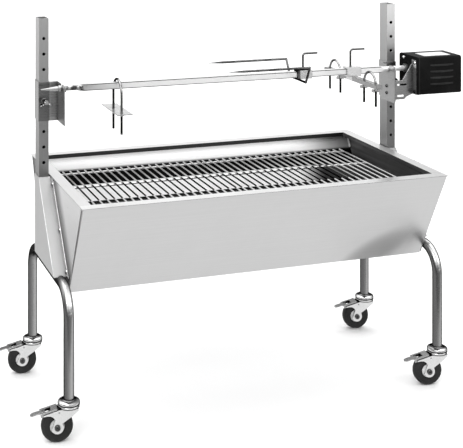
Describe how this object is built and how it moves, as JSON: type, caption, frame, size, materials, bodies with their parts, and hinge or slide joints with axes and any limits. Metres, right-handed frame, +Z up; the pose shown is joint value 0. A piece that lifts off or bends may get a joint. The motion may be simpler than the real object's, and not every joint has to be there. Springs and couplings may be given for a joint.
{
  "type": "rotisserie spit roaster",
  "caption": "Charcoal trough on braked casters with a wire grate, perforated uprights, height carriages and a motor-driven square spit with fork, back brace and leg bracket.",
  "frame": {"origin": "bottom centre of the whole object's box, on the floor", "axes": "+X along the spit towards the motor, +Y to the rear, +Z up"},
  "size_m": [1.2382, 0.5328, 0.9549],
  "materials": {
    "satin_stainless": "satin brushed stainless sheet and tube",
    "charcoal_tray": "bright sheet steel",
    "grate_chrome": "plated welded wire",
    "zinc_hardware": "bright zinc plate",
    "spit_chrome": "bright plated steel",
    "motor_black": "black semi-gloss coat",
    "black_plastic": "matte moulded plastic",
    "gear_steel": "machined steel, lightly oiled",
    "tyre_rubber": "black moulded rubber",
    "hub_grey": "light grey moulded hub"
  },
  "bodies": {
    "stand": {"front_panel": "satin_stainless", "rear_panel": "satin_stainless", "bottom_panel": "satin_stainless", "end_panel_left": "satin_stainless", "end_panel_right": "satin_stainless", "charcoal_tray": "charcoal_tray", "side_bracket_left": "satin_stainless", "side_bracket_right": "satin_stainless", "bracket_screws": "zinc_hardware", "leg_frame_left": "satin_stainless", "leg_frame_right": "satin_stainless", "upright_left": "satin_stainless", "upright_right": "satin_stainless", "caster_stems": "zinc_hardware"},
    "grate_left": {"grate_left": "grate_chrome"},
    "grate_right": {"grate_right": "grate_chrome"},
    "left_carriage": {"carriage_left": "satin_stainless"},
    "right_carriage": {"carriage_right": "satin_stainless", "motor_bracket": "satin_stainless", "motor_screws": "zinc_hardware", "motor_housing": "motor_black", "motor_end_plate": "motor_black", "gearmotor": "gear_steel", "power_inlet": "black_plastic"},
    "left_wing_bolt": {"wing_bolt_left": "zinc_hardware"},
    "right_wing_bolt": {"wing_bolt_right": "zinc_hardware"},
    "spit": {"spit_rod": "spit_chrome", "spit_collars": "spit_chrome"},
    "output_gear": {"output_gear": "gear_steel"},
    "drive_pinion": {"drive_pinion": "gear_steel"},
    "power_switch": {"power_switch": "black_plastic"},
    "meat_fork": {"meat_fork": "spit_chrome"},
    "fork_screw": {"fork_screw": "spit_chrome"},
    "back_brace": {"brace_ubolt": "spit_chrome"},
    "brace_plate": {"brace_plate": "zinc_hardware", "brace_nuts": "zinc_hardware"},
    "leg_bracket": {"leg_bracket": "spit_chrome", "leg_ubolts": "spit_chrome", "leg_wing_nuts": "zinc_hardware"},
    "leg_bracket_screw": {"leg_bracket_screw": "spit_chrome"},
    "front_left_caster": {"front_left_fork": "zinc_hardware", "front_left_axle": "zinc_hardware"},
    "front_left_wheel": {"front_left_tyre": "tyre_rubber", "front_left_hub": "hub_grey"},
    "front_left_brake": {"front_left_pedal": "zinc_hardware"},
    "front_right_caster": {"front_right_fork": "zinc_hardware", "front_right_axle": "zinc_hardware"},
    "front_right_wheel": {"front_right_tyre": "tyre_rubber", "front_right_hub": "hub_grey"},
    "front_right_brake": {"front_right_pedal": "zinc_hardware"},
    "rear_left_caster": {"rear_left_fork": "zinc_hardware", "rear_left_axle": "zinc_hardware"},
    "rear_left_wheel": {"rear_left_tyre": "tyre_rubber", "rear_left_hub": "hub_grey"},
    "rear_left_brake": {"rear_left_pedal": "zinc_hardware"},
    "rear_right_caster": {"rear_right_fork": "zinc_hardware", "rear_right_axle": "zinc_hardware"},
    "rear_right_wheel": {"rear_right_tyre": "tyre_rubber", "rear_right_hub": "hub_grey"},
    "rear_right_brake": {"rear_right_pedal": "zinc_hardware"}
  },
  "joints": [
    {"name": "spit_height", "type": "slide", "parent": "stand", "child": "right_carriage", "axis": [0, 0, 1], "range_m": [-0.07852, 0.15704]},
    {"name": "left_height", "type": "slide", "parent": "stand", "child": "left_carriage", "axis": [0, 0, 1], "range_m": [-0.07852, 0.15704]},
    {"name": "spit_spin", "type": "hinge", "parent": "right_carriage", "child": "spit", "pos_m": [-0.03588, 0, 0.7834], "axis": [1, 0, 0], "continuous": true},
    {"name": "output_spin", "type": "hinge", "parent": "right_carriage", "child": "output_gear", "pos_m": [0.49412, 0, 0.7834], "axis": [1, 0, 0], "continuous": true},
    {"name": "pinion_spin", "type": "hinge", "parent": "right_carriage", "child": "drive_pinion", "pos_m": [0.49412, -0.02574, 0.75766], "axis": [1, 0, 0], "continuous": true},
    {"name": "left_bolt_turn", "type": "hinge", "parent": "left_carriage", "child": "left_wing_bolt", "pos_m": [-0.53238, 0.02, 0.74686], "axis": [0, 1, 0], "range_deg": [-180, 180]},
    {"name": "right_bolt_turn", "type": "hinge", "parent": "right_carriage", "child": "right_wing_bolt", "pos_m": [0.46062, 0.02, 0.74686], "axis": [0, 1, 0], "range_deg": [-180, 180]},
    {"name": "power_rocker", "type": "hinge", "parent": "right_carriage", "child": "power_switch", "pos_m": [0.61212, -0.015, 0.797], "axis": [0, 1, 0], "range_deg": [-12, 12]},
    {"name": "fork_slide", "type": "slide", "parent": "spit", "child": "meat_fork", "axis": [1, 0, 0], "range_m": [-0.12, 0.02]},
    {"name": "fork_screw_turn", "type": "hinge", "parent": "meat_fork", "child": "fork_screw", "pos_m": [0.16912, 0, 0.82], "axis": [0, 0, 1], "range_deg": [-180, 180]},
    {"name": "brace_slide", "type": "slide", "parent": "spit", "child": "back_brace", "axis": [1, 0, 0], "range_m": [-0.06, 0.1]},
    {"name": "brace_clamp", "type": "slide", "parent": "back_brace", "child": "brace_plate", "axis": [0, 0, 1], "range_m": [-0.03, 0.03]},
    {"name": "bracket_slide", "type": "slide", "parent": "spit", "child": "leg_bracket", "axis": [1, 0, 0], "range_m": [-0.06, 0.03]},
    {"name": "bracket_screw_turn", "type": "hinge", "parent": "leg_bracket", "child": "leg_bracket_screw", "pos_m": [0.31112, 0, 0.82], "axis": [0, 0, 1], "range_deg": [-180, 180]},
    {"name": "grate_left_lift", "type": "slide", "parent": "stand", "child": "grate_left", "axis": [0, 0, 1], "range_m": [0, 0.06]},
    {"name": "grate_right_lift", "type": "slide", "parent": "stand", "child": "grate_right", "axis": [0, 0, 1], "range_m": [0, 0.06]},
    {"name": "front_left_swivel", "type": "hinge", "parent": "stand", "child": "front_left_caster", "pos_m": [-0.52888, -0.195, 0.08], "axis": [0, 0, 1], "continuous": true},
    {"name": "front_left_roll", "type": "hinge", "parent": "front_left_caster", "child": "front_left_wheel", "pos_m": [-0.55661, -0.1911, 0.0375], "axis": [0.1392, 0.9903, 0], "continuous": true},
    {"name": "front_left_brake", "type": "hinge", "parent": "front_left_caster", "child": "front_left_brake", "pos_m": [-0.55265, -0.19166, 0.0724], "axis": [0.1392, 0.9903, 0], "range_deg": [0, 12]},
    {"name": "front_right_swivel", "type": "hinge", "parent": "stand", "child": "front_right_caster", "pos_m": [0.45712, -0.195, 0.08], "axis": [0, 0, 1], "continuous": true},
    {"name": "front_right_roll", "type": "hinge", "parent": "front_right_caster", "child": "front_right_wheel", "pos_m": [0.42939, -0.1911, 0.0375], "axis": [0.1392, 0.9903, 0], "continuous": true},
    {"name": "front_right_brake", "type": "hinge", "parent": "front_right_caster", "child": "front_right_brake", "pos_m": [0.43335, -0.19166, 0.0724], "axis": [0.1392, 0.9903, 0], "range_deg": [0, 12]},
    {"name": "rear_left_swivel", "type": "hinge", "parent": "stand", "child": "rear_left_caster", "pos_m": [-0.52888, 0.187, 0.08], "axis": [0, 0, 1], "continuous": true},
    {"name": "rear_left_roll", "type": "hinge", "parent": "rear_left_caster", "child": "rear_left_wheel", "pos_m": [-0.55661, 0.1909, 0.0375], "axis": [0.1392, 0.9903, 0], "continuous": true},
    {"name": "rear_left_brake", "type": "hinge", "parent": "rear_left_caster", "child": "rear_left_brake", "pos_m": [-0.55265, 0.19034, 0.0724], "axis": [0.1392, 0.9903, 0], "range_deg": [0, 12]},
    {"name": "rear_right_swivel", "type": "hinge", "parent": "stand", "child": "rear_right_caster", "pos_m": [0.45712, 0.187, 0.08], "axis": [0, 0, 1], "continuous": true},
    {"name": "rear_right_roll", "type": "hinge", "parent": "rear_right_caster", "child": "rear_right_wheel", "pos_m": [0.42939, 0.1909, 0.0375], "axis": [0.1392, 0.9903, 0], "continuous": true},
    {"name": "rear_right_brake", "type": "hinge", "parent": "rear_right_caster", "child": "rear_right_brake", "pos_m": [0.43335, 0.19034, 0.0724], "axis": [0.1392, 0.9903, 0], "range_deg": [0, 12]}
  ],
  "couplings": [
    {"joint": "left_height", "follows": "spit_height", "ratio": 1},
    {"joint": "output_spin", "follows": "spit_spin", "ratio": 1},
    {"joint": "pinion_spin", "follows": "spit_spin", "ratio": -3}
  ]
}
